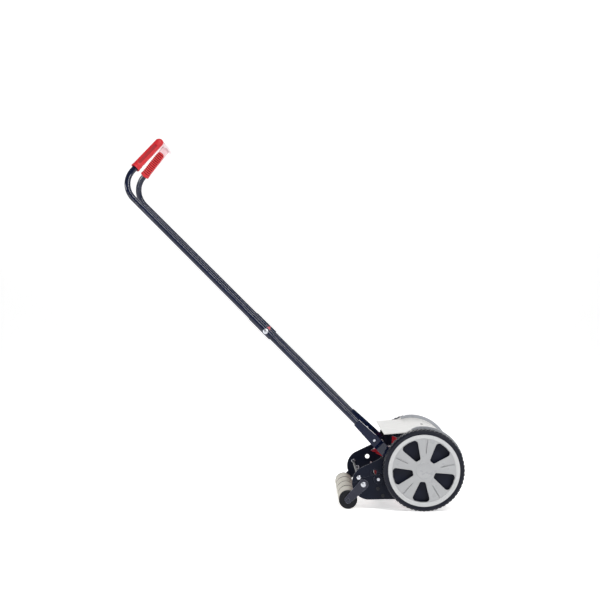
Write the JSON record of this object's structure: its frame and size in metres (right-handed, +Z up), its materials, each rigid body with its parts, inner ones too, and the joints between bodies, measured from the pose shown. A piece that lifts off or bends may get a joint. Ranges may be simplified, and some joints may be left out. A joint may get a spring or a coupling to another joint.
{
  "type": "reel mower",
  "caption": "Hand-pushed cylinder mower: ground wheels geared to a helical reel, bottom blade, curved top cover, rear roller and a two-part tubular handle with joined grips.",
  "frame": {"origin": "on the ground, at the middle of the whole mower's box", "axes": "+X forwards, the way it is pushed; +Y to the left; +Z up"},
  "size_m": [1.0386, 0.5038, 1.1404],
  "materials": {
    "frame_paint": "satin dark navy-black paint",
    "tube_paint": "satin dark navy-black paint",
    "cover_paint": "off-white, soft gloss",
    "zinc": "zinc plated",
    "dark_steel": "blackened or oiled steel",
    "knife_steel": "ground steel",
    "reel_paint": "red paint, edges worn bright",
    "tyre": "matt black tread",
    "wheel_plastic": "dark moulded plastic",
    "cap_plastic": "light silver-grey moulding",
    "gear_plastic": "sintered grey",
    "roller_beige": "cream moulded",
    "roller_black": "matt black",
    "arm_paint": "dark purple-grey paint",
    "grip_red": "red moulded grip, soft gloss",
    "bridge_plastic": "pale pinkish white",
    "wing_red": "red moulded"
  },
  "bodies": {
    "chassis": {"side_plate_left": "frame_paint", "side_plate_right": "frame_paint", "top_cover": "cover_paint", "cover_screws": "dark_steel", "front_tie_rod": "frame_paint", "rear_tie_rod": "zinc", "tie_rod_nuts": "zinc", "axle_left": "zinc", "axle_right": "zinc", "axle_clips": "zinc", "reel_bearings": "dark_steel", "dust_cover_left": "frame_paint", "dust_cover_right": "frame_paint", "bedknife": "knife_steel", "bedknife_bar": "frame_paint", "bedknife_screws": "dark_steel", "bedknife_bolts": "dark_steel", "adjuster_bosses": "frame_paint", "adjuster_bolts": "zinc", "handle_pivot_bolts": "zinc", "handle_stops": "dark_steel", "roller_pivot_bolts": "zinc"},
    "wheel_left": {"tyre_left": "tyre", "wheel_body_left": "wheel_plastic", "wheel_cap_left": "cap_plastic"},
    "wheel_right": {"tyre_right": "tyre", "wheel_body_right": "wheel_plastic", "wheel_cap_right": "cap_plastic"},
    "reel": {"reel_shaft": "dark_steel", "reel_spiders": "reel_paint", "reel_blade_1": "reel_paint", "reel_blade_2": "reel_paint", "reel_blade_3": "reel_paint", "reel_blade_4": "reel_paint", "reel_blade_5": "reel_paint", "pawl_keys": "dark_steel", "shaft_clips": "zinc"},
    "pinion_left": {"pinion_left": "gear_plastic"},
    "pinion_right": {"pinion_right": "gear_plastic"},
    "roller_frame": {"roller_arm_left": "arm_paint", "roller_arm_right": "arm_paint", "roller_shaft": "dark_steel", "roller_end_discs": "roller_black"},
    "roller_1": {"roller_segment_1": "roller_beige"},
    "roller_2": {"roller_segment_2": "roller_beige"},
    "roller_3": {"roller_segment_3": "roller_beige"},
    "roller_4": {"roller_segment_4": "roller_beige"},
    "handle": {"handle_bracket_left": "tube_paint", "handle_bracket_right": "tube_paint", "lower_tube_left": "tube_paint", "lower_tube_right": "tube_paint", "upper_tube_left": "tube_paint", "upper_tube_right": "tube_paint", "grip_left": "grip_red", "grip_right": "grip_red", "grip_bridge": "bridge_plastic", "bracket_bolts": "zinc", "joint_bolts": "zinc", "wing_nuts": "wing_red"}
  },
  "joints": [
    {"name": "wheel_left_spin", "type": "hinge", "parent": "chassis", "child": "wheel_left", "pos_m": [0.39626, 0.231, 0.123], "axis": [0, 1, 0], "continuous": true},
    {"name": "wheel_right_spin", "type": "hinge", "parent": "chassis", "child": "wheel_right", "pos_m": [0.39626, -0.231, 0.123], "axis": [0, 1, 0], "continuous": true},
    {"name": "reel_spin", "type": "hinge", "parent": "chassis", "child": "reel", "pos_m": [0.33077, 0, 0.10667], "axis": [0, 1, 0], "continuous": true},
    {"name": "pinion_left_spin", "type": "hinge", "parent": "chassis", "child": "pinion_left", "pos_m": [0.33077, 0.217, 0.10667], "axis": [0, 1, 0], "continuous": true},
    {"name": "pinion_right_spin", "type": "hinge", "parent": "chassis", "child": "pinion_right", "pos_m": [0.33077, -0.217, 0.10667], "axis": [0, 1, 0], "continuous": true},
    {"name": "roller_height", "type": "hinge", "parent": "chassis", "child": "roller_frame", "pos_m": [0.21626, 0, 0.075], "axis": [0, 1, 0], "range_deg": [-8, 12]},
    {"name": "roller_1_spin", "type": "hinge", "parent": "roller_frame", "child": "roller_1", "pos_m": [0.16996, 0, 0.0285], "axis": [0, 1, 0], "continuous": true},
    {"name": "roller_2_spin", "type": "hinge", "parent": "roller_frame", "child": "roller_2", "pos_m": [0.16996, 0, 0.0285], "axis": [0, 1, 0], "continuous": true},
    {"name": "roller_3_spin", "type": "hinge", "parent": "roller_frame", "child": "roller_3", "pos_m": [0.16996, 0, 0.0285], "axis": [0, 1, 0], "continuous": true},
    {"name": "roller_4_spin", "type": "hinge", "parent": "roller_frame", "child": "roller_4", "pos_m": [0.16996, 0, 0.0285], "axis": [0, 1, 0], "continuous": true},
    {"name": "handle_pivot", "type": "hinge", "parent": "chassis", "child": "handle", "pos_m": [0.29626, 0, 0.1624], "axis": [0, 1, 0], "range_deg": [0, 15]}
  ],
  "couplings": [
    {"joint": "reel_spin", "follows": "wheel_left_spin", "ratio": 4.375},
    {"joint": "pinion_left_spin", "follows": "wheel_left_spin", "ratio": 4.375},
    {"joint": "pinion_right_spin", "follows": "wheel_right_spin", "ratio": 4.375}
  ]
}
